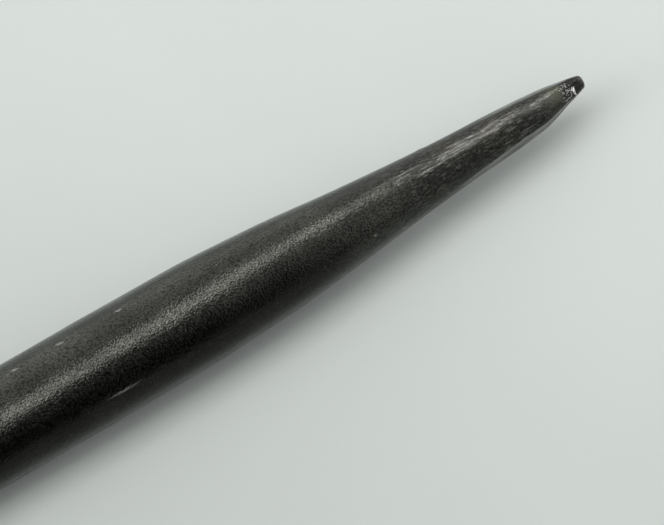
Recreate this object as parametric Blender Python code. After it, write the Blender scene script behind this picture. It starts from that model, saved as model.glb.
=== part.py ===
"""Lining-up pry bar: one steel forging with a round tapered point and a curved rolling head.

Metres, +Z up. The bar lies as it would on a bench, with its round shank along X and its point
towards +X. Its head has rolled over until the lower corner of the chisel edge touches the bench.
The origin is on the bench, under the middle of the bounding box.
"""

import math

import bmesh
import bpy
import numpy as np
from mathutils import Matrix, Vector

NAME = "lining_up_pry_bar"

# Driving dimensions
OVERALL_LENGTH = 0.457
STOCK_DIAMETER = 0.01905
BLADE_WIDTH = 0.0318

# Point: (distance back from the blunt end, diameter)
POINT_DIAMETERS = (
    (0.0, 0.00225),
    (0.0015, 0.0032),
    (0.0044, 0.0045),
    (0.0105, 0.0070),
    (0.0170, 0.00825),
    (0.0270, 0.00935),
    (0.0380, 0.01115),
    (0.0520, 0.01395),
    (0.0680, 0.0169),
    (0.0840, 0.0186),
    (0.1040, STOCK_DIAMETER),
)
# Point: (distance back from the blunt end, how far the forging has drifted off the shank's axis)
POINT_DRIFT = ((0.0, 0.0018), (0.0044, 0.0015), (0.0110, 0.00085), (0.0270, 0.0005), (0.0500, 0.0))
# Trimmed parting-line lands: (distance back, share of the radius cut away on each side)
LAND_DEPTH = ((0.0040, 0.0), (0.0085, 0.035), (0.0200, 0.030), (0.0300, 0.0))

# Rolling head, along the middle of the section
BEND_RADIUS = 0.038
BEND_ANGLE = math.radians(68)
TOE_LENGTH = 0.012
# Head: (distance back from the chisel edge, width), the same for thickness and squareness
HEAD_WIDTHS = (
    (0.0, BLADE_WIDTH),
    (0.0080, 0.0290),
    (0.0165, 0.0261),
    (0.0290, 0.0225),
    (0.0375, 0.0206),
    (0.0560, STOCK_DIAMETER),
)
HEAD_THICKNESSES = (
    (0.0, 0.0042),
    (0.0120, 0.0068),
    (0.0300, 0.0120),
    (0.0480, 0.0168),
    (0.0620, 0.0187),
    (0.0750, STOCK_DIAMETER),
)
HEAD_SQUARENESS = ((0.0, 4.2), (0.0200, 3.2), (0.0400, 2.2), (0.0560, 2.0))
BEVEL_LENGTH = 0.011
EDGE_THICKNESS = 0.0016
CUTTER_MARGIN = 0.002

# Facets
AROUND = 40
POINT_RINGS = 26
HEAD_RINGS = 24
SHANK_RINGS = 6
POINT_CROWDING = 1.6
SHARP_ANGLE = math.radians(40)

FORGED_STEEL = (0.045, 0.044, 0.041, 1.0)
FORGED_ROUGHNESS = 0.42


def clear_scene():
    for obj in list(bpy.data.objects):
        bpy.data.objects.remove(obj, do_unlink=True)


def new_collection(name):
    collection = bpy.data.collections.new(name)
    bpy.context.scene.collection.children.link(collection)
    return collection


def forged_steel():
    material = bpy.data.materials.new("forged_steel")
    material.use_nodes = True
    shader = material.node_tree.nodes["Principled BSDF"]
    shader.inputs["Base Color"].default_value = FORGED_STEEL
    shader.inputs["Metallic"].default_value = 1.0
    shader.inputs["Roughness"].default_value = FORGED_ROUGHNESS
    return material


def smooth_value(stations, at):
    """The value at a distance, on the smooth curve through the stations that never overshoots them."""
    places, values = np.array(stations).T
    rises = np.diff(values) / np.diff(places)
    slopes = np.zeros(len(values))
    slopes[0], slopes[-1] = rises[0], rises[-1]
    for i, (before, after) in enumerate(zip(rises[:-1], rises[1:]), start=1):
        if before * after > 0:
            slopes[i] = 2 * before * after / (before + after)
    at = min(max(at, places[0]), places[-1])
    i = min(int(np.searchsorted(places, at, side="right")) - 1, len(rises) - 1)
    span = places[i + 1] - places[i]
    t = (at - places[i]) / span
    bend = t * (1 - t) ** 2 * slopes[i] - t * t * (1 - t) * slopes[i + 1]
    return float(values[i] + (values[i + 1] - values[i]) * t * t * (3 - 2 * t) + span * bend)


def section(thickness, width, squareness, land=0.0):
    """Points (across, up) round one section, from a circle at squareness 2 to a rounded rectangle.

    land flattens both sides, by that share of half the thickness.
    """
    points = []
    for i in range(AROUND):
        turn = 2 * math.pi * i / AROUND
        across, up = math.cos(turn), math.sin(turn)
        across = math.copysign(abs(across) ** (2 / squareness), across)
        up = math.copysign(abs(up) ** (2 / squareness), up)
        across = min(max(across, land - 1), 1 - land)
        points.append((across * thickness / 2, up * width / 2))
    return points


def head_frame(back):
    """The middle of the head's section at a distance back from the edge, and how far it has turned."""
    bend_length = BEND_RADIUS * BEND_ANGLE
    along_bend = min(max(TOE_LENGTH + bend_length - back, 0.0), bend_length)
    straight = TOE_LENGTH + bend_length - back - along_bend
    turn = along_bend / BEND_RADIUS
    x = -BEND_RADIUS * math.sin(turn) - straight * math.cos(turn)
    y = -BEND_RADIUS * (1 - math.cos(turn)) - straight * math.sin(turn)
    return Vector((x, y, 0)), turn


def hollow_side(turn):
    """The direction across the blade towards the inside of the bend."""
    return Vector((math.sin(turn), -math.cos(turn), 0))


def head_reach():
    """How far the head reaches past the start of its bend, along the shank."""
    edge, turn = head_frame(0.0)
    return -edge.x + math.sin(turn) * HEAD_THICKNESSES[0][1] / 2


def head_rings():
    """Rings from the chisel edge back to the round shank. The bend starts at the origin."""
    rings = []
    for i in range(HEAD_RINGS):
        back = HEAD_THICKNESSES[-1][0] * i / (HEAD_RINGS - 1)
        middle, turn = head_frame(back)
        outline = section(
            smooth_value(HEAD_THICKNESSES, back),
            smooth_value(HEAD_WIDTHS, back),
            smooth_value(HEAD_SQUARENESS, back),
        )
        outward = -hollow_side(turn)
        rings.append([middle + across * outward + Vector((0, 0, up)) for across, up in outline])
    return rings


def shank_rings(tip_x):
    """Plain round rings between the head and the shoulder of the point."""
    start = head_frame(HEAD_THICKNESSES[-1][0])[0].x
    length = tip_x - POINT_DIAMETERS[-1][0] - start
    outline = section(STOCK_DIAMETER, STOCK_DIAMETER, 2)
    places = [start + length * i / (SHANK_RINGS + 1) for i in range(1, SHANK_RINGS + 1)]
    return [[Vector((x, across, up)) for across, up in outline] for x in places]


def point_rings(tip_x):
    """Round rings down the taper, closer together towards the blunt end."""
    rings = []
    for i in reversed(range(POINT_RINGS)):
        back = POINT_DIAMETERS[-1][0] * (i / (POINT_RINGS - 1)) ** POINT_CROWDING
        diameter = smooth_value(POINT_DIAMETERS, back)
        outline = section(diameter, diameter, 2, smooth_value(LAND_DEPTH, back))
        drift = smooth_value(POINT_DRIFT, back)
        rings.append([Vector((tip_x - back, across + drift, up)) for across, up in outline])
    return rings


def loft(name, rings, collection):
    """One closed skin over the rings, with a flat face on the first and last."""
    shape = bmesh.new()
    loops = [[shape.verts.new(point) for point in ring] for ring in rings]
    for near, far in zip(loops[:-1], loops[1:]):
        for i in range(AROUND):
            j = (i + 1) % AROUND
            shape.faces.new((near[i], near[j], far[j], far[i]))
    shape.faces.new(loops[0])
    shape.faces.new(loops[-1])
    bmesh.ops.recalc_face_normals(shape, faces=shape.faces)
    mesh = bpy.data.meshes.new(name)
    shape.to_mesh(mesh)
    shape.free()
    obj = bpy.data.objects.new(name, mesh)
    collection.objects.link(obj)
    return obj


def add_bevel_cutter(collection):
    """A block with one side on the plane of the ground bevel, inside the hollow of the blade."""
    edge, turn = head_frame(0.0)
    heel, _ = head_frame(BEVEL_LENGTH)
    inward = hollow_side(turn)
    edge = edge + inward * (EDGE_THICKNESS - HEAD_THICKNESSES[0][1] / 2)
    heel = heel + inward * smooth_value(HEAD_THICKNESSES, BEVEL_LENGTH) / 2
    along = (heel - edge).normalized()
    up = Vector((0, 0, 1))
    away = up.cross(along)
    if away.dot(inward) < 0:
        away.negate()
    length = (heel - edge).length + 2 * CUTTER_MARGIN
    middle = (edge + heel) / 2 + away * BEVEL_LENGTH / 2
    bpy.ops.mesh.primitive_cube_add(size=1)
    cutter = bpy.context.object
    cutter.name = "bevel_cutter"
    turned = Matrix((along, away, up)).transposed().to_quaternion()
    size = Vector((length, BEVEL_LENGTH, BLADE_WIDTH + 2 * CUTTER_MARGIN))
    cutter.matrix_world = Matrix.LocRotScale(middle, turned, size)
    cutter.hide_render = True
    cutter.display_type = "WIRE"
    for other in cutter.users_collection:
        other.objects.unlink(cutter)
    collection.objects.link(cutter)
    return cutter


def shaped_points(obj):
    """The object's points with its modifiers applied, in its own frame."""
    shaped = obj.evaluated_get(bpy.context.evaluated_depsgraph_get())
    points = [vertex.co.copy() for vertex in shaped.to_mesh().vertices]
    shaped.to_mesh_clear()
    return points


def lay_on_bench(bar):
    """Rolls the bar until a corner of its head touches the bench, and puts the origin under its middle."""
    points = shaped_points(bar)
    radius = STOCK_DIAMETER / 2
    toe_start, _ = head_frame(TOE_LENGTH)
    roll = 0.0
    for point in points:
        if point.x < toe_start.x:
            corner = math.atan2(-point.z, -point.y)
            reach = math.hypot(point.y, point.z)
            roll = max(roll, corner - math.asin(radius / reach))
    turned = Matrix.Rotation(-roll, 3, "X")
    corners = np.array([turned @ point for point in points])
    low, high = corners.min(axis=0), corners.max(axis=0)
    bar.rotation_euler.x = -roll
    bar.location = (-(low[0] + high[0]) / 2, -(low[1] + high[1]) / 2, -low[2])


def main():
    clear_scene()
    parts = new_collection(NAME)
    cutters = new_collection("cutters")
    tip_x = OVERALL_LENGTH - head_reach()
    bar = loft("forged_bar", head_rings() + shank_rings(tip_x) + point_rings(tip_x), parts)
    bar.data.materials.append(forged_steel())
    bar.data.shade_smooth()
    bar.data.set_sharp_from_angle(angle=SHARP_ANGLE)
    cutter = add_bevel_cutter(cutters)
    cutter.parent = bar
    grind = bar.modifiers.new("ground bevel", "BOOLEAN")
    grind.operation = "DIFFERENCE"
    grind.object = cutter
    lay_on_bench(bar)


main()
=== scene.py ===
"""Looks for the lining-up pry bar: one forged steel piece, a pale bench, soft light and the camera."""

import math

import bmesh
import bpy
import numpy as np
from mathutils import Matrix, Vector


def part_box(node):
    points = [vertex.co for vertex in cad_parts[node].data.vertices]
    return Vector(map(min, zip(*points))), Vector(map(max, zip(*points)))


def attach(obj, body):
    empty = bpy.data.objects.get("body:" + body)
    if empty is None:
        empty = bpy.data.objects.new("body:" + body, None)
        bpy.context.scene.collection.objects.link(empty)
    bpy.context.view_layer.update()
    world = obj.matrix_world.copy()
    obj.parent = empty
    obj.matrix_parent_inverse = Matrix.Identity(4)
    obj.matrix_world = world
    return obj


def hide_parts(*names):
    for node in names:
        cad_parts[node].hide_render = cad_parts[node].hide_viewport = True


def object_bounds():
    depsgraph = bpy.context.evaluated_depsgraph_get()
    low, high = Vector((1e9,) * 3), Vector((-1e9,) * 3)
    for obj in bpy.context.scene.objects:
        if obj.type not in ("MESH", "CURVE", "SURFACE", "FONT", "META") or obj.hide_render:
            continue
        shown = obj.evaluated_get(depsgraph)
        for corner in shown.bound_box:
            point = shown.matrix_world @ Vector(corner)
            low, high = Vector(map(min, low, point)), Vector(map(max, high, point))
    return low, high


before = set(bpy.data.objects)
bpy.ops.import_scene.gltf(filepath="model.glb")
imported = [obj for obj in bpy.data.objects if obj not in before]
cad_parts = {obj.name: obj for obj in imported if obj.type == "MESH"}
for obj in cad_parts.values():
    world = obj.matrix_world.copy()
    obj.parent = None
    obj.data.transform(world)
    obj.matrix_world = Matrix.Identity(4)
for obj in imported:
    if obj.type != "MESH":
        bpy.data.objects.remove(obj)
CAD_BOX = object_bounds()
NODE = "forged_bar"

# The forging, as in the model that it stands for (metres)
OVERALL_LENGTH = 0.457
STOCK_DIAMETER = 0.01905
BLADE_WIDTH = 0.0318
BEND_RADIUS = 0.038
BEND_ANGLE = math.radians(68)
BEND_LENGTH = BEND_RADIUS * BEND_ANGLE
TOE_LENGTH = 0.012
BEVEL_LENGTH = 0.011
EDGE_THICKNESS = 0.0016
HEAD_WIDTHS = (
    (0.0, BLADE_WIDTH),
    (0.0080, 0.0290),
    (0.0165, 0.0261),
    (0.0290, 0.0225),
    (0.0375, 0.0206),
    (0.0560, STOCK_DIAMETER),
)
HEAD_THICKNESSES = (
    (0.0, 0.0042),
    (0.0120, 0.0068),
    (0.0300, 0.0120),
    (0.0480, 0.0168),
    (0.0620, 0.0187),
    (0.0750, STOCK_DIAMETER),
)
HEAD_SQUARENESS = ((0.0, 4.2), (0.0200, 3.2), (0.0400, 2.2), (0.0560, 2.0))
HEAD_LENGTH = HEAD_THICKNESSES[-1][0]

# Point: (distance back from the blunt end, diameter), with the battered rim rounded over
POINT_DIAMETERS = (
    (0.0, 0.00202),
    (0.00005, 0.00222),
    (0.00016, 0.00239),
    (0.00073, 0.00278),
    (0.0015, 0.0032),
    (0.0029, 0.00386),
    (0.0044, 0.0045),
    (0.0073, 0.0059),
    (0.0105, 0.0070),
    (0.0170, 0.00820),
    (0.0270, 0.00935),
    (0.0380, 0.01115),
    (0.0520, 0.01395),
    (0.0680, 0.0169),
    (0.0840, 0.0186),
    (0.1040, STOCK_DIAMETER),
)
# Point: (distance back from the blunt end, how far the forging has drifted off the shank's axis)
POINT_DRIFT = ((0.0, 0.0018), (0.0044, 0.0015), (0.0110, 0.00085), (0.0270, 0.0005), (0.0500, 0.0))

# Mesh: (distance back from the blunt end, ring spacing), then points round each ring
RING_SPACING = (
    (0.0, 0.00010),
    (0.0060, 0.00011),
    (0.0140, 0.00021),
    (0.0420, 0.00030),
    (0.1050, 0.00060),
    (0.1250, 0.0012),
    (0.1500, 0.0026),
)
HEAD_RING_SPACING = 0.0010
AROUND = 160
SHARP_ANGLE = math.radians(50)
# Skin relief fades out over this distance back from the chisel edge
EDGE_STAYS_TRUE = 0.004
# The bevel cuts only this much of the blade, in bevel lengths
BLADE_TO_CUT = 1.6
GROUND_STEEL_SLOT = 1


def smooth_values(stations, at):
    """Values at many distances, on the smooth curve through the stations that never overshoots them."""
    places, values = np.array(stations, float).T
    rises = np.diff(values) / np.diff(places)
    slopes = np.zeros(len(values))
    slopes[0], slopes[-1] = rises[0], rises[-1]
    for i, (before, after) in enumerate(zip(rises[:-1], rises[1:]), start=1):
        if before * after > 0:
            slopes[i] = 2 * before * after / (before + after)
    at = np.clip(np.asarray(at, float), places[0], places[-1])
    i = np.minimum(np.searchsorted(places, at, side="right") - 1, len(rises) - 1)
    span = places[i + 1] - places[i]
    t = (at - places[i]) / span
    bend = t * (1 - t) ** 2 * slopes[i] - t * t * (1 - t) * slopes[i + 1]
    return values[i] + (values[i + 1] - values[i]) * t * t * (3 - 2 * t) + span * bend


def smoothstep(low, high, x):
    """From 0 at low to 1 at high. With low above high, it falls from 1 to 0."""
    t = np.clip((x - low) / (high - low), 0, 1)
    return t * t * (3 - 2 * t)


def cell_noise(points, size, seed):
    """Smooth noise from -1 to 1, the same each run.

    size is the spacing of its lattice along each axis.
    """
    p = points / np.asarray(size, float)
    cell = np.floor(p).astype(np.int64)
    t = p - cell
    t = t * t * (3 - 2 * t)
    total = np.zeros(len(points))
    for corner in range(8):
        step = np.array([corner & 1, corner >> 1 & 1, corner >> 2 & 1])
        x, y, z = (cell + step).T
        h = (x * 374761393 + y * 668265263 + z * 2147483629 + seed * 974634777) & 0xFFFFFFFF
        h = ((h ^ (h >> 13)) * 1274126177) & 0xFFFFFFFF
        h = ((h ^ (h >> 16)) * 668265263) & 0xFFFFFFFF
        weight = np.prod(np.where(step, t, 1 - t), axis=1)
        total += weight * ((h >> 8) / float(1 << 23) - 1)
    return total


def head_frame(u):
    """The section's middle and turn at a place u along the bar.

    u is 0 where the bend starts, less in the head and more in the shank.
    """
    a = np.maximum(-u, 0)
    along_bend = np.minimum(a, BEND_LENGTH)
    straight = a - along_bend
    turn = along_bend / BEND_RADIUS
    x = np.where(u > 0, u, -BEND_RADIUS * np.sin(turn) - straight * np.cos(turn))
    y = -BEND_RADIUS * (1 - np.cos(turn)) - straight * np.sin(turn)
    return x, y, turn


EDGE_U = -(TOE_LENGTH + BEND_LENGTH)
EDGE_X, EDGE_Y, EDGE_TURN = (float(v) for v in head_frame(np.array(EDGE_U)))
HEAD_REACH = -EDGE_X + math.sin(EDGE_TURN) * HEAD_THICKNESSES[0][1] / 2
TIP_U = OVERALL_LENGTH - HEAD_REACH


def ring_places():
    """Where the rings are, from the chisel edge to the blunt end."""
    places, back = [], 0.0
    while TIP_U - back > EDGE_U + HEAD_LENGTH:
        places.append(TIP_U - back)
        back += float(smooth_values(RING_SPACING, back))
    rings = math.ceil((places[-1] - EDGE_U) / HEAD_RING_SPACING)
    gap = (places[-1] - EDGE_U) / rings
    places += [places[-1] - gap * i for i in range(1, rings + 1)]
    return np.array(places[::-1])


# Degrees round the section run from 0 on the far side over 90 at the top to 180 on the near side.
# Long flats: (middle in degrees round the section, (distance back, share of the radius cut away))
FLATS = (
    (96, ((0.0130, 0.0), (0.0200, 0.016), (0.0300, 0.020), (0.0380, 0.005), (0.0450, 0.0))),
    (0, ((0.0040, 0.0), (0.0085, 0.035), (0.0200, 0.030), (0.0300, 0.0))),
)
# Lands where the flash was trimmed off, ground to bare steel, in the same terms
FAR_LAND = (51, ((0.0022, 0.0), (0.0040, 0.045), (0.0065, 0.045), (0.0180, 0.022), (0.0260, 0.0)))
NEAR_LAND = (
    192,
    (
        (0.0020, 0.0),
        (0.0045, 0.045),
        (0.0085, 0.065),
        (0.0160, 0.070),
        (0.0240, 0.035),
        (0.0320, 0.0),
    ),
)
# A flat cuts only where the section faces it at least this squarely (cosine)
FLAT_REACH = 0.5


def sections(u):
    """Across and up for every point of every ring, in the frame of its own section."""
    turn = 2 * np.pi * np.arange(AROUND) / AROUND
    cos, sin = np.cos(turn)[None, :], np.sin(turn)[None, :]
    from_edge, from_tip = u - EDGE_U, TIP_U - u
    in_head = from_edge < HEAD_LENGTH
    point = smooth_values(POINT_DIAMETERS, from_tip)
    thickness = np.where(in_head, smooth_values(HEAD_THICKNESSES, from_edge), point)[:, None]
    width = np.where(in_head, smooth_values(HEAD_WIDTHS, from_edge), point)[:, None]
    power = 2 / smooth_values(HEAD_SQUARENESS, from_edge)[:, None]
    shrink = np.ones((len(u), AROUND))
    for middle, depths in (*FLATS, FAR_LAND, NEAR_LAND):
        depth = smooth_values(depths, from_tip)[:, None]
        facing = np.cos(turn - math.radians(middle))[None, :]
        cut = np.minimum(shrink, (1 - depth) / np.maximum(facing, FLAT_REACH))
        shrink = np.where(facing > FLAT_REACH, cut, shrink)
    across = np.sign(cos) * np.abs(cos) ** power * thickness / 2 * shrink
    up = np.sign(sin) * np.abs(sin) ** power * width / 2 * shrink
    drift = smooth_values(POINT_DRIFT, from_tip)[:, None]
    return across + drift, up


def place(u, across, up):
    """Points in the bar's own frame, from their straightened places."""
    x, y, turn = (v[:, None] for v in head_frame(u))
    return np.stack([x - across * np.sin(turn), y + across * np.cos(turn), up + 0 * x], axis=-1)


def ring_normals(points):
    along = np.gradient(points, axis=0)
    around = np.roll(points, -1, axis=1) - np.roll(points, 1, axis=1)
    normals = np.cross(around, along)
    return normals / np.linalg.norm(normals, axis=-1, keepdims=True)


def angle_gap(turn, middle):
    return (turn - middle + np.pi) % (2 * np.pi) - np.pi


def surface_relief(u, across, up):
    """How far each point stands out of the smooth forging, and how bare its steel is.

    Both are arrays of (rings, points round). Bareness is 0 for the forged skin, 1 for bare steel
    and more where it is polished.
    """
    back = np.repeat((TIP_U - u)[:, None], AROUND, axis=1)
    turn = np.repeat((2 * np.pi * np.arange(AROUND) / AROUND)[None, :], len(u), axis=0)
    radius = np.hypot(across, up)
    skin = np.stack([-back, across, up], axis=-1).reshape(-1, 3)

    def noise(size, seed):
        return cell_noise(skin, size, seed).reshape(back.shape)

    size = smoothstep(0.0, 0.06, back)
    relief = (0.00002 + 0.00004 * size) * noise((0.016, 0.006, 0.006), 1)
    relief += (0.00001 + 0.00002 * size) * noise((0.006, 0.0027, 0.0027), 2)
    relief += 0.000006 * noise((0.0016, 0.0011, 0.0011), 3)
    bare = np.zeros_like(back)

    def mark(at_back, degrees, length, width, depth, rim=0.0, shine=0.0, slant=0.0, dull=0.0):
        """A nick or scratch, along the bar for its length and across it for its width.

        shine is how bare it is, and dull is how much of that its bottom loses.
        """
        along = back - at_back
        over = angle_gap(turn, math.radians(degrees)) * radius + slant * along
        far = np.hypot(along / length, over / width)
        hollow = np.exp(-(far**2) * 2)
        lip = np.exp(-((far - 1.25) ** 2) * 9)
        relief[...] += rim * lip - depth * hollow
        bare[...] = np.maximum(bare, shine * smoothstep(0.08, 0.6, hollow))
        left = np.minimum(bare, np.maximum(1 - 2 * dull * hollow, 0))
        bare[...] = np.where(hollow > 0.35, left, bare)

    def groove(from_line, width, depth, where, dull):
        """A line scored round or along the point, from each point's distance to it."""
        hollow = where * np.exp(-((from_line / width) ** 2))
        relief[...] -= depth * hollow
        left = np.minimum(bare, np.maximum(1 - 2 * dull * hollow, 0))
        bare[...] = np.where(hollow > 0.3, left, bare)

    degrees_round = np.degrees(turn)
    # Rolled-over rim of the blunt end, on the upper side
    rim_back = 0.00074 * smoothstep(38, 80, degrees_round)
    upper = smoothstep(30, 45, degrees_round) * smoothstep(215, 190, degrees_round)
    groove(back - rim_back, 0.00015, 0.00008, upper, 1.0)
    relief += 0.00002 * upper * smoothstep(0.0, 0.0002, back) * smoothstep(0.0007, 0.0003, back)
    # Trimmed lands, bare and with a line scored along them; on the near land the line's darkening is
    # painted shade, an edge shadow along a shallow groove: (land, inner side, start, end, how bare, bare
    # edge and line as shares of the land's half angle, line's width, how dull it is)
    for (middle, depths), inner, start, end, shine, edge, line, width, dull in (
        (FAR_LAND, 1, 0.0012, 0.0240, 0.60, 0.45, 0.70, 0.00016, 1.0),
        # the near land's dark line is partly painted shade
        (NEAR_LAND, -1, 0.0048, 0.0360, 0.38, 1.0, -0.25, 0.00011, 0.85),
    ):
        half = np.degrees(np.arccos(1 - smooth_values(depths, back)))
        from_middle = (degrees_round - middle) * inner
        ends = smoothstep(start, start + 0.0012, back) * smoothstep(end, end * 0.6, back)
        land = smoothstep(half * edge + 1, half * edge - 1, from_middle)
        land *= smoothstep(-half - 8, -half, from_middle)
        worn = ends * land * shine * (1 + 0.5 * noise((0.0030, 0.0005, 0.0005), 4))
        bare[...] = np.maximum(bare, worn)
        from_line = np.radians(from_middle - half * line) * radius
        groove(from_line, width, 0.00005, ends * (half > 4), dull)

    draw = np.random.default_rng(11)
    # Grinding scratches down the taper
    for _ in range(150):
        at_back = draw.normal(0.0268, 0.0062)
        degrees = draw.normal(99, 9)
        length = draw.uniform(0.0010, 0.0042)
        width = draw.uniform(0.00006, 0.00014)
        depth = draw.uniform(0.000004, 0.000020)
        shine = draw.uniform(0.0, 0.25)
        slant = draw.normal(0, 0.02)
        mark(at_back, degrees, length, width, depth, rim=0.000003, shine=shine, slant=slant)
    for _ in range(30):
        at_back = draw.normal(0.0178, 0.0028)
        degrees = draw.normal(124, 8)
        mark(at_back, degrees, draw.uniform(0.0008, 0.0026), 0.00010, 0.00001, dull=0.8)
    for at_back, degrees in ((0.0196, 161), (0.0158, 164), (0.0128, 168)):
        mark(at_back, degrees, 0.0015, 0.00016, 0.00003, dull=1.0)
        mark(at_back - 0.0005, degrees + 5, 0.0008, 0.00012, 0.00002, shine=0.5)
    for at_back, degrees, length, depth in (
        (0.0171, 126, 0.0016, 0.000030),
        (0.0176, 122, 0.0012, 0.000022),
        (0.0186, 152, 0.0016, 0.000030),
        (0.0142, 150, 0.0020, 0.000030),
        (0.0150, 157, 0.0018, 0.000024),
        (0.0334, 110, 0.0042, 0.000036),
    ):
        mark(at_back, degrees, length, 0.00014, depth, rim=0.000008, shine=0.3)
    # Chewed end of the point: bare on what stands out, and forged skin in the pits
    chewed = smoothstep(0.0024, 0.0030, back) * smoothstep(0.0068, 0.0046, back)
    chewed *= smoothstep(74, 88, degrees_round) * smoothstep(188, 172, degrees_round)
    bites = noise((0.00022, 0.00016, 0.00016), 5)
    relief += 0.00006 * chewed * bites
    bare[...] = np.maximum(bare, 0.85 * smoothstep(0.20, 0.44, chewed * bites))
    pits = chewed * smoothstep(0.24, 0.12, bites)
    bare[...] = np.where(pits > 0.0455, 0, bare)
    # Torn bright spot beside it, with a rim of forged skin
    spot = np.hypot((back - 0.00268) / 0.00044, angle_gap(turn, math.radians(133)) * radius / 0.00037)
    spot = np.exp(-(spot**2))
    spot += noise((0.00020, 0.00015, 0.00015), 12) * smoothstep(0.25, 0.50, spot)
    bare[...] = np.where(spot > 0.40, 0, bare)
    bare[...] = np.where(spot > 0.66, 2.5, bare)
    relief += 0.00003 * smoothstep(0.3, 0.7, spot)
    # Rubbed crescent of the rim
    rubbed = upper * smoothstep(0.00060, 0.00046, back) * smoothstep(0.00002, 0.00010, back)
    bare[...] = np.maximum(bare, rubbed * (0.13 + 0.08 * noise((0.0005, 0.0003, 0.0003), 8)))
    # Brighter rubbed patch behind the chewed end
    rubbed = smoothstep(0.0052, 0.0075, back) * smoothstep(0.0150, 0.0105, back)
    rubbed *= smoothstep(82, 98, degrees_round) * smoothstep(124, 110, degrees_round)
    bare[...] = np.maximum(bare, rubbed * (0.16 + 0.14 * noise((0.0012, 0.00025, 0.00025), 6)))
    # Nicks and flecks along the shank
    mark(0.0429, 191, 0.00065, 0.00026, 0.00007, rim=0.00002, shine=1.0)
    mark(0.0490, 160, 0.00030, 0.00018, 0.00003, shine=0.8)
    mark(0.1030, 158, 0.0048, 0.00013, 0.000035, shine=0.9)
    for at_back in (0.0965, 0.1086, 0.1180):
        mark(at_back, 72, 0.0006, 0.0002, 0.00002, shine=0.55)
    mark(0.0328, 36, 0.0009, 0.0007, -0.00008)
    return relief, bare


def bisect_bevel(shape, blade):
    """Grinds the bevel: cuts the blade's hollow side off along a plane, and closes it with one face."""
    inward = Vector((math.sin(EDGE_TURN), -math.cos(EDGE_TURN), 0))
    edge = Vector((EDGE_X, EDGE_Y, 0)) + inward * (EDGE_THICKNESS - HEAD_THICKNESSES[0][1] / 2)
    x, y, turn = (float(v) for v in head_frame(np.array(EDGE_U + BEVEL_LENGTH)))
    thickness = float(smooth_values(HEAD_THICKNESSES, BEVEL_LENGTH))
    heel = Vector((x, y, 0)) + Vector((math.sin(turn), -math.cos(turn), 0)) * thickness / 2
    plane = (heel - edge).cross(Vector((0, 0, 1))).normalized()
    if plane.dot(inward) < 0:
        plane.negate()
    verts = set(blade)
    geom = list(blade)
    geom += [e for e in shape.edges if e.verts[0] in verts and e.verts[1] in verts]
    geom += [f for f in shape.faces if all(v in verts for v in f.verts)]
    cut = bmesh.ops.bisect_plane(
        shape, geom=geom, plane_co=edge, plane_no=plane, clear_outer=True, dist=1e-7
    )
    rim = [e for e in cut["geom_cut"] if isinstance(e, bmesh.types.BMEdge)]
    return bmesh.ops.contextual_create(shape, geom=rim)["faces"]


def build_bar():
    u = ring_places()
    across, up = sections(u)
    smooth = place(u, across, up)
    relief, bare = surface_relief(u, across, up)
    relief *= smoothstep(0.0, EDGE_STAYS_TRUE, u - EDGE_U)[:, None]
    points = smooth + ring_normals(smooth) * relief[..., None]
    back = np.repeat((TIP_U - u)[:, None], AROUND, axis=1)
    skin = np.stack([-back, across, up], axis=-1)

    shape = bmesh.new()
    skin_layer = shape.verts.layers.float_vector.new("skin")
    bare_layer = shape.verts.layers.float.new("bare")
    rings = []
    for ring, ring_skin, ring_bare in zip(points, skin, bare):
        loop = []
        for co, at, shine in zip(ring, ring_skin, ring_bare):
            vertex = shape.verts.new(co)
            vertex[skin_layer] = at
            vertex[bare_layer] = shine
            loop.append(vertex)
        rings.append(loop)
    for near, far in zip(rings[:-1], rings[1:]):
        for i in range(AROUND):
            j = (i + 1) % AROUND
            shape.faces.new((near[i], near[j], far[j], far[i]))
    shape.faces.new(rings[0])
    tip_face = shape.faces.new(rings[-1])
    bmesh.ops.recalc_face_normals(shape, faces=shape.faces)
    blade_end = EDGE_U + BEVEL_LENGTH * BLADE_TO_CUT
    blade = [vertex for loop, at in zip(rings, u) if at < blade_end for vertex in loop]
    ground = bisect_bevel(shape, blade)
    bmesh.ops.recalc_face_normals(shape, faces=shape.faces)
    for face in shape.faces:
        face.smooth = True
    tip_face.smooth = False
    for face in ground:
        face.material_index = GROUND_STEEL_SLOT
        face.smooth = False
    mesh = bpy.data.meshes.new("lining_up_bar")
    shape.to_mesh(mesh)
    shape.free()
    mesh.set_sharp_from_angle(angle=SHARP_ANGLE)
    bar = bpy.data.objects.new("lining_up_bar", mesh)
    bpy.context.scene.collection.objects.link(bar)
    return bar


def lay_in_box(bar):
    """Rolls the bar over onto a corner of its blade, and puts it where the model lies."""
    points = np.array([v.co for v in bar.data.vertices])
    toe = points[points[:, 0] < head_frame(np.array(EDGE_U + TOE_LENGTH))[0]]
    reach = np.hypot(toe[:, 1], toe[:, 2])
    corners = np.arctan2(-toe[:, 2], -toe[:, 1])
    roll = float(np.max(corners - np.arcsin(STOCK_DIAMETER / 2 / reach)))
    low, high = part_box(NODE)
    turned = points @ np.array(Matrix.Rotation(-roll, 3, "X")).T
    x = high.x - TIP_U
    y = high.y - STOCK_DIAMETER / 2
    z = low.z - float(turned[:, 2].min())
    bar.data.transform(Matrix.Translation((x, y, z)) @ Matrix.Rotation(-roll, 4, "X"))
    return Vector((high.x, y, z))


bar = build_bar()
point_end = lay_in_box(bar)
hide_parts(NODE)
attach(bar, "root")


# Materials
def new_material(name):
    material = bpy.data.materials.new(name)
    material.use_nodes = True
    return material, material.node_tree.nodes, material.node_tree.links


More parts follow.
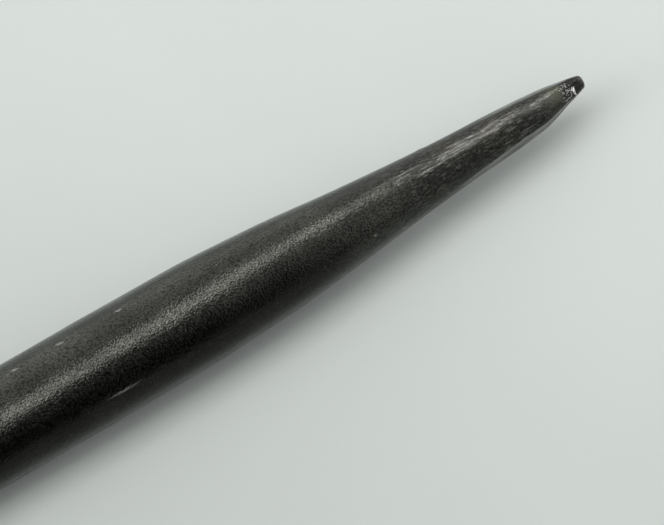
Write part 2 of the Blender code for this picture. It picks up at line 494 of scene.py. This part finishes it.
def noise_node(nodes, links, vector, scale, detail=2.0, rough=0.5, stretch=None):
    """A noise texture on a vector output, in cycles per metre."""
    if stretch:
        mapping = nodes.new("ShaderNodeMapping")
        mapping.inputs["Scale"].default_value = stretch
        links.new(vector, mapping.inputs["Vector"])
        vector = mapping.outputs["Vector"]
    noise = nodes.new("ShaderNodeTexNoise")
    noise.inputs["Scale"].default_value = scale
    noise.inputs["Detail"].default_value = detail
    noise.inputs["Roughness"].default_value = rough
    links.new(vector, noise.inputs["Vector"])
    return noise.outputs["Fac"]


def ramp_node(nodes, links, value, low, high, out_low=0.0, out_high=1.0):
    """From out_low to out_high as the value goes from low to high, levelling off at both ends."""
    node = nodes.new("ShaderNodeMapRange")
    node.interpolation_type = "SMOOTHSTEP"
    node.inputs["From Min"].default_value = low
    node.inputs["From Max"].default_value = high
    node.inputs["To Min"].default_value = out_low
    node.inputs["To Max"].default_value = out_high
    links.new(value, node.inputs["Value"])
    return node.outputs["Result"]


def math_node(nodes, links, operation, *values):
    node = nodes.new("ShaderNodeMath")
    node.operation = operation
    for socket, value in zip(node.inputs, values):
        if isinstance(value, (int, float)):
            socket.default_value = value
        else:
            links.new(value, socket)
    return node.outputs["Value"]


def product(nodes, links, *values):
    """The values multiplied together, each one a number or an output."""
    total = values[0]
    for value in values[1:]:
        total = math_node(nodes, links, "MULTIPLY", total, value)
    return total


def mix_colour(nodes, links, factor, a, b):
    node = nodes.new("ShaderNodeMix")
    node.data_type = "RGBA"
    for socket, value in ((node.inputs["Factor"], factor), (node.inputs["A"], a), (node.inputs["B"], b)):
        if isinstance(value, (int, float)):
            socket.default_value = value
        elif isinstance(value, tuple):
            socket.default_value = (*value, 1.0)
        else:
            links.new(value, socket)
    return node.outputs["Result"]


OXIDE = (0.070, 0.071, 0.062)
OXIDE_DARK = (0.052, 0.052, 0.047)
BROWN = (0.050, 0.044, 0.033)
OLIVE = (0.095, 0.102, 0.072)
SCALE_BLACK = (0.010, 0.010, 0.009)
BARE_STEEL = (0.36, 0.36, 0.345)
POLISHED_STEEL = (0.90, 0.90, 0.88)
GROUND_DULL = (0.25, 0.245, 0.23)
GROUND_BRIGHT = (0.33, 0.33, 0.315)
GROUND_LINES = (0.11, 0.11, 0.10)
# Lattices of the noise on the forging, in cycles per metre
PATCHES = 130
MOTTLE = 1200
FLECKS = 1500
GRAIN = 3000
# The same along and across the bar, for grinding marks on the taper and on the bevel
STREAKS = (600, 5200, 5200)
GRINDING = (150, 150, 3200)
BEVEL_CLOUD = 260


def add_bump(nodes, links, shader, height, strength, distance):
    bump = nodes.new("ShaderNodeBump")
    bump.inputs["Strength"].default_value = strength
    bump.inputs["Distance"].default_value = distance
    links.new(height, bump.inputs["Height"])
    links.new(bump.outputs["Normal"], shader.inputs["Normal"])


def forged_steel():
    """Black oxide, worn and ground on the taper, and bare where surface_relief says so."""
    material, nodes, links = new_material("forged_steel")
    shader = nodes["Principled BSDF"]
    skin = nodes.new("ShaderNodeAttribute")
    skin.attribute_name = "skin"
    bareness = nodes.new("ShaderNodeAttribute")
    bareness.attribute_name = "bare"
    bare = bareness.outputs["Fac"]
    vector = skin.outputs["Vector"]
    split = nodes.new("ShaderNodeSeparateXYZ")
    links.new(vector, split.inputs["Vector"])
    across, up = split.outputs["Y"], split.outputs["Z"]
    from_tip = math_node(nodes, links, "MULTIPLY", split.outputs["X"], -1.0)

    patches = noise_node(nodes, links, vector, PATCHES, 3)
    grain = noise_node(nodes, links, vector, GRAIN, 1)
    mottle = noise_node(nodes, links, vector, MOTTLE, 2)
    flecks = noise_node(nodes, links, vector, FLECKS, 2)
    streaks = noise_node(nodes, links, vector, 1, 2, 0.6, STREAKS)

    def ramp(value, *ends):
        return ramp_node(nodes, links, value, *ends)

    # Only the taper is ground
    ground = product(nodes, links, ramp(from_tip, 0.004, 0.012), ramp(from_tip, 0.034, 0.052, 1.0, 0.0))

    colour = mix_colour(nodes, links, ramp(patches, 0.35, 0.68), OXIDE_DARK, OXIDE)
    dull = ramp(grain, 0.32, 0.62, 0.75, 0.0)
    darker = product(nodes, links, ground, 0.36)
    brown = product(nodes, links, ground, ramp(patches, 0.5, 0.7, 0.0, 0.3))
    # Olive tint behind the pits, on the upper side
    olive = ramp(from_tip, 0.0055, 0.0100, 0.75, 0.0)
    olive = product(nodes, links, olive, ramp(from_tip, 0.0038, 0.0054), ramp(up, 0.0012, 0.0027))
    nose = ramp(from_tip, 0.0036, 0.0050, 0.50, 0.0)
    nose = product(nodes, links, nose, ramp(from_tip, 0.0007, 0.0010))
    # Painted shade: the near side of the shank is made blacker low down
    painted_near_shade = ramp(up, 0.0052, 0.0078, 0.65, 0.0)
    painted_near_shade = product(nodes, links, painted_near_shade, ramp(across, -0.0050, -0.0025, 1.0, 0.0))
    painted_near_shade = product(nodes, links, painted_near_shade, ramp(from_tip, 0.042, 0.068))
    fleck = ramp(flecks, 0.73, 0.80, 0.0, 0.30)
    scored = product(nodes, links, ground, ramp(streaks, 0.55, 0.67, 0.0, 0.23))
    glint = ramp(bare, 1.0, 1.8)
    for factor, over in (
        (dull, SCALE_BLACK),
        (darker, SCALE_BLACK),
        (brown, BROWN),
        (olive, OLIVE),
        (nose, SCALE_BLACK),
        # painted shade on the near side of the shank
        (painted_near_shade, SCALE_BLACK),
        (fleck, BARE_STEEL),
        (scored, BARE_STEEL),
        (bare, BARE_STEEL),
        (glint, POLISHED_STEEL),
    ):
        colour = mix_colour(nodes, links, factor, colour, over)
    links.new(colour, shader.inputs["Base Color"])
    shader.inputs["Metallic"].default_value = 1.0

    links.new(ramp(mottle, 0.3, 0.7, 0.15, 0.25), shader.inputs["Roughness"])

    height = math_node(nodes, links, "MULTIPLY_ADD", mottle, 0.5, product(nodes, links, grain, 1.8))
    height = math_node(nodes, links, "ADD", height, product(nodes, links, streaks, ground, 2.0))
    add_bump(nodes, links, shader, height, 0.6, 0.000065)
    return material


def ground_steel():
    """The chisel's bevel, ground bright."""
    material, nodes, links = new_material("ground_steel")
    shader = nodes["Principled BSDF"]
    vector = nodes.new("ShaderNodeTexCoord").outputs["Object"]
    lines = noise_node(nodes, links, vector, 1, 3, 0.6, GRINDING)
    cloud = noise_node(nodes, links, vector, BEVEL_CLOUD, 3)
    brighter = ramp_node(nodes, links, cloud, 0.35, 0.7)
    colour = mix_colour(nodes, links, brighter, GROUND_DULL, GROUND_BRIGHT)
    darker = ramp_node(nodes, links, lines, 0.40, 0.65, 0.45, 0.0)
    colour = mix_colour(nodes, links, darker, colour, GROUND_LINES)
    links.new(colour, shader.inputs["Base Color"])
    shader.inputs["Metallic"].default_value = 1.0
    links.new(ramp_node(nodes, links, lines, 0.3, 0.7, 0.26, 0.42), shader.inputs["Roughness"])
    add_bump(nodes, links, shader, lines, 0.4, 0.00004)
    return material


bar.data.materials.append(forged_steel())
bar.data.materials.append(ground_steel())


# Bench
FLOOR_COLOUR = (0.594, 0.633, 0.607)
FLOOR_RADIUS = 40.0
CLOUD = 14
CLOUD_SHADE = 0.012
# Painted light and shade: round the point, the bench is painted lighter ahead of the bar and to its far
# side, and darker behind it and to its near side. Along that slant it goes from one shade to the other,
# and both even out further from the point.
PAINTED_LIGHT_SLANT = math.radians(43)
PAINTED_LIGHT_FROM, PAINTED_LIGHT_TO = -0.13, 0.04
PAINTED_SHADE_LEVEL, PAINTED_LIGHT_LEVEL = -0.11, 0.10
EVEN_FROM, EVEN_TO = 0.12, 0.45


def make_floor():
    shape = bmesh.new()
    bmesh.ops.create_circle(shape, cap_ends=True, segments=96, radius=FLOOR_RADIUS)
    mesh = bpy.data.meshes.new("bench")
    shape.to_mesh(mesh)
    shape.free()
    floor = bpy.data.objects.new("bench", mesh)
    bpy.context.scene.collection.objects.link(floor)
    floor.location = (point_end.x, point_end.y, CAD_BOX[0].z)
    material, nodes, links = new_material("bench")
    shader = nodes["Principled BSDF"]
    where = nodes.new("ShaderNodeTexCoord").outputs["Object"]
    cloud = noise_node(nodes, links, where, CLOUD, 3)
    worn = ramp_node(nodes, links, cloud, 0.3, 0.7, -CLOUD_SHADE, CLOUD_SHADE)
    slant = nodes.new("ShaderNodeMapping")
    slant.inputs["Rotation"].default_value = (0, 0, -PAINTED_LIGHT_SLANT)
    links.new(where, slant.inputs["Vector"])
    split = nodes.new("ShaderNodeSeparateXYZ")
    links.new(slant.outputs["Vector"], split.inputs["Vector"])
    # Painted light and shade across the bench: lighter ahead and to the far side, darker behind and to
    # the near side
    painted_light_ends = (PAINTED_LIGHT_FROM, PAINTED_LIGHT_TO, PAINTED_SHADE_LEVEL, PAINTED_LIGHT_LEVEL)
    painted_light_and_shade = ramp_node(nodes, links, split.outputs["X"], *painted_light_ends)
    reach = nodes.new("ShaderNodeVectorMath")
    reach.operation = "LENGTH"
    links.new(where, reach.inputs[0])
    near_point = ramp_node(nodes, links, reach.outputs["Value"], EVEN_FROM, EVEN_TO, 1.0, 0.0)
    shade = math_node(nodes, links, "MULTIPLY_ADD", painted_light_and_shade, near_point, worn)
    shade = math_node(nodes, links, "ADD", shade, 1.0)
    colour = nodes.new("ShaderNodeVectorMath")
    colour.operation = "SCALE"
    colour.inputs[0].default_value = FLOOR_COLOUR
    links.new(shade, colour.inputs["Scale"])
    links.new(colour.outputs["Vector"], shader.inputs["Base Color"])
    shader.inputs["Roughness"].default_value = 0.6
    shader.inputs["Specular IOR Level"].default_value = 0.2
    mesh.materials.append(material)


make_floor()

# Light: (degrees from straight up towards the near side, brightness). Directions square to the
# bar, ahead of its point and behind its head each have their own.
SKY_ABEAM = (
    (-180, 1.0),
    (-101, 2.1),
    (-75, 2.1),
    (-57, 1.8),
    (-38, 1.3),
    (-25, 1.1),
    (-10, 1.1),
    (4, 1.0),
    (13, 0.50),
    (22, 0.20),
    (32, 0.09),
    (42, 0.03),
    (52, 0.0),
    (92, 0.0),
    (110, 0.5),
    (180, 1.0),
)
SKY_AHEAD = (
    (-180, 1.0),
    (-125, 1.4),
    (-85, 1.2),
    (-58, 1.3),
    (-37, 1.3),
    (-17, 1.2),
    (0, 1.2),
    (18, 1.4),
    (36, 1.4),
    (54, 1.3),
    (73, 1.0),
    (94, 0.55),
    (120, 0.5),
    (180, 1.0),
)
SKY_BEHIND = (
    (-180, 1.0),
    (-110, 1.3),
    (-60, 1.8),
    (-25, 1.5),
    (15, 1.4),
    (45, 0.8),
    (75, 0.7),
    (110, 0.8),
    (180, 1.0),
)
# How far towards +X a direction leans where one sky gives way to the next: behind, abeam, ahead
BEHIND_LEANS = (-0.08, 0.06)
AHEAD_LEANS = (0.36, 0.43)
# What lights the bench: mostly a broad window of light just to the far side of straight up. It
# is brighter from behind the bar than from ahead, and brighter still from low down behind.
BENCH_LEANS = (-0.05, 0.55)
BENCH_LEVELS = (1.50, 0.35)
LOW_LEANS = (-0.92, -0.55)
LOW_BEHIND = 1.8
SKY_ON_BENCH = (
    (-180, 0.0),
    (-90, 0.35),
    (-52, 0.50),
    (-33, 0.65),
    (-25, 0.90),
    (-19, 2.30),
    (6, 2.30),
    (12, 0.80),
    (28, 0.70),
    (45, 0.50),
    (90, 0.35),
    (180, 0.0),
)
# What the camera sees past the bench
BACKDROP = (0.70, 0.745, 0.715)


def sky_ramp(nodes, links, share, sky):
    """Brightness round the bar, from a list of directions."""
    ramp = nodes.new("ShaderNodeValToRGB")
    ramp.color_ramp.interpolation = "EASE"
    elements = ramp.color_ramp.elements
    while len(elements) > 1:
        elements.remove(elements[-1])
    brightest = max(level for _, level in sky)
    for i, (degrees, level) in enumerate(sky):
        element = elements[0] if i == 0 else elements.new(degrees / 360 + 0.5)
        element.position = degrees / 360 + 0.5
        element.color = (*[level / brightest] * 3, 1)
    links.new(share, ramp.inputs["Fac"])
    return math_node(nodes, links, "MULTIPLY", ramp.outputs["Color"], brightest)


def make_sky():
    world = bpy.data.worlds.new("soft_light")
    bpy.context.scene.world = world
    world.use_nodes = True
    nodes, links = world.node_tree.nodes, world.node_tree.links
    background = nodes["Background"]
    where = nodes.new("ShaderNodeTexCoord")
    split = nodes.new("ShaderNodeSeparateXYZ")
    links.new(where.outputs["Generated"], split.inputs["Vector"])
    near = math_node(nodes, links, "MULTIPLY", split.outputs["Y"], -1.0)
    angle = math_node(nodes, links, "ARCTAN2", near, split.outputs["Z"])
    share = math_node(nodes, links, "MULTIPLY_ADD", angle, 0.5 / math.pi, 0.5)

    def blend(low, high, factor):
        rise = math_node(nodes, links, "SUBTRACT", high, low)
        return math_node(nodes, links, "MULTIPLY_ADD", rise, factor, low)

    level = sky_ramp(nodes, links, share, SKY_BEHIND)
    for sky, leans in ((SKY_ABEAM, BEHIND_LEANS), (SKY_AHEAD, AHEAD_LEANS)):
        lean = ramp_node(nodes, links, split.outputs["X"], *leans)
        level = blend(level, sky_ramp(nodes, links, share, sky), lean)
    # The bench, which is matt, has its own light
    path = nodes.new("ShaderNodeLightPath")
    lean = ramp_node(nodes, links, split.outputs["X"], *BENCH_LEANS, *BENCH_LEVELS)
    low = ramp_node(nodes, links, split.outputs["X"], *LOW_LEANS, LOW_BEHIND, 0.0)
    on_bench = math_node(nodes, links, "ADD", lean, low)
    on_bench = product(nodes, links, sky_ramp(nodes, links, share, SKY_ON_BENCH), on_bench)
    studio = nodes.new("ShaderNodeBackground")
    links.new(blend(level, on_bench, path.outputs["Is Diffuse Ray"]), studio.inputs["Strength"])
    background.inputs["Color"].default_value = (*BACKDROP, 1)
    mix = nodes.new("ShaderNodeMixShader")
    links.new(path.outputs["Is Camera Ray"], mix.inputs["Fac"])
    links.new(studio.outputs["Background"], mix.inputs[1])
    links.new(background.outputs["Background"], mix.inputs[2])
    links.new(mix.outputs["Shader"], nodes["World Output"].inputs["Surface"])


make_sky()

# Strip light that the steel mirrors: its place from the blunt end of the point, and its size
STRIP_PLACE = Vector((-0.01, 0.0316, 0.14))
STRIP_LENGTH, STRIP_WIDTH = 0.60, 0.022
STRIP_SKEW = math.atan(0.68)
STRIP_BRIGHTNESS = 5.7


def make_strip():
    """A flat light facing down, as bright as a sky of that level."""
    data = bpy.data.lights.new("strip", "AREA")
    data.shape = "RECTANGLE"
    data.size, data.size_y = STRIP_LENGTH, STRIP_WIDTH
    data.energy = STRIP_BRIGHTNESS * math.pi * STRIP_LENGTH * STRIP_WIDTH
    strip = bpy.data.objects.new("strip", data)
    bpy.context.scene.collection.objects.link(strip)
    strip.location = point_end + STRIP_PLACE
    strip.rotation_euler.z = STRIP_SKEW
    strip.visible_camera = False
    strip.visible_diffuse = False


make_strip()

# Camera: from a place so far round and up, on a frame so wide that the blunt end of the point is
# these shares of its width to the right of its middle and above it
CAMERA_AZIMUTH = math.radians(-33.05)
CAMERA_ELEVATION = math.radians(63)
CAMERA_DISTANCE = 1.5
FRAME_WIDTH = 0.1190
POINT_RIGHT_OF_MIDDLE = 0.3840
POINT_ABOVE_MIDDLE = 0.2634


def make_camera():
    data = bpy.data.cameras.new("camera")
    camera = bpy.data.objects.new("camera", data)
    bpy.context.scene.collection.objects.link(camera)
    bpy.context.scene.camera = camera
    a, e = CAMERA_AZIMUTH, CAMERA_ELEVATION
    back = Vector((math.sin(a) * math.cos(e), -math.cos(a) * math.cos(e), math.sin(e)))
    right = Vector((math.cos(a), math.sin(a), 0))
    up = back.cross(right)
    middle = point_end - (right * POINT_RIGHT_OF_MIDDLE + up * POINT_ABOVE_MIDDLE) * FRAME_WIDTH
    camera.location = middle + back * CAMERA_DISTANCE
    camera.rotation_mode = "QUATERNION"
    camera.rotation_quaternion = (-back).to_track_quat("-Z", "Y")
    data.sensor_width = 36
    data.lens = data.sensor_width * CAMERA_DISTANCE / FRAME_WIDTH
    data.clip_start = 0.01
    data.clip_end = 50


make_camera()
bpy.context.scene.view_settings.view_transform = "Standard"
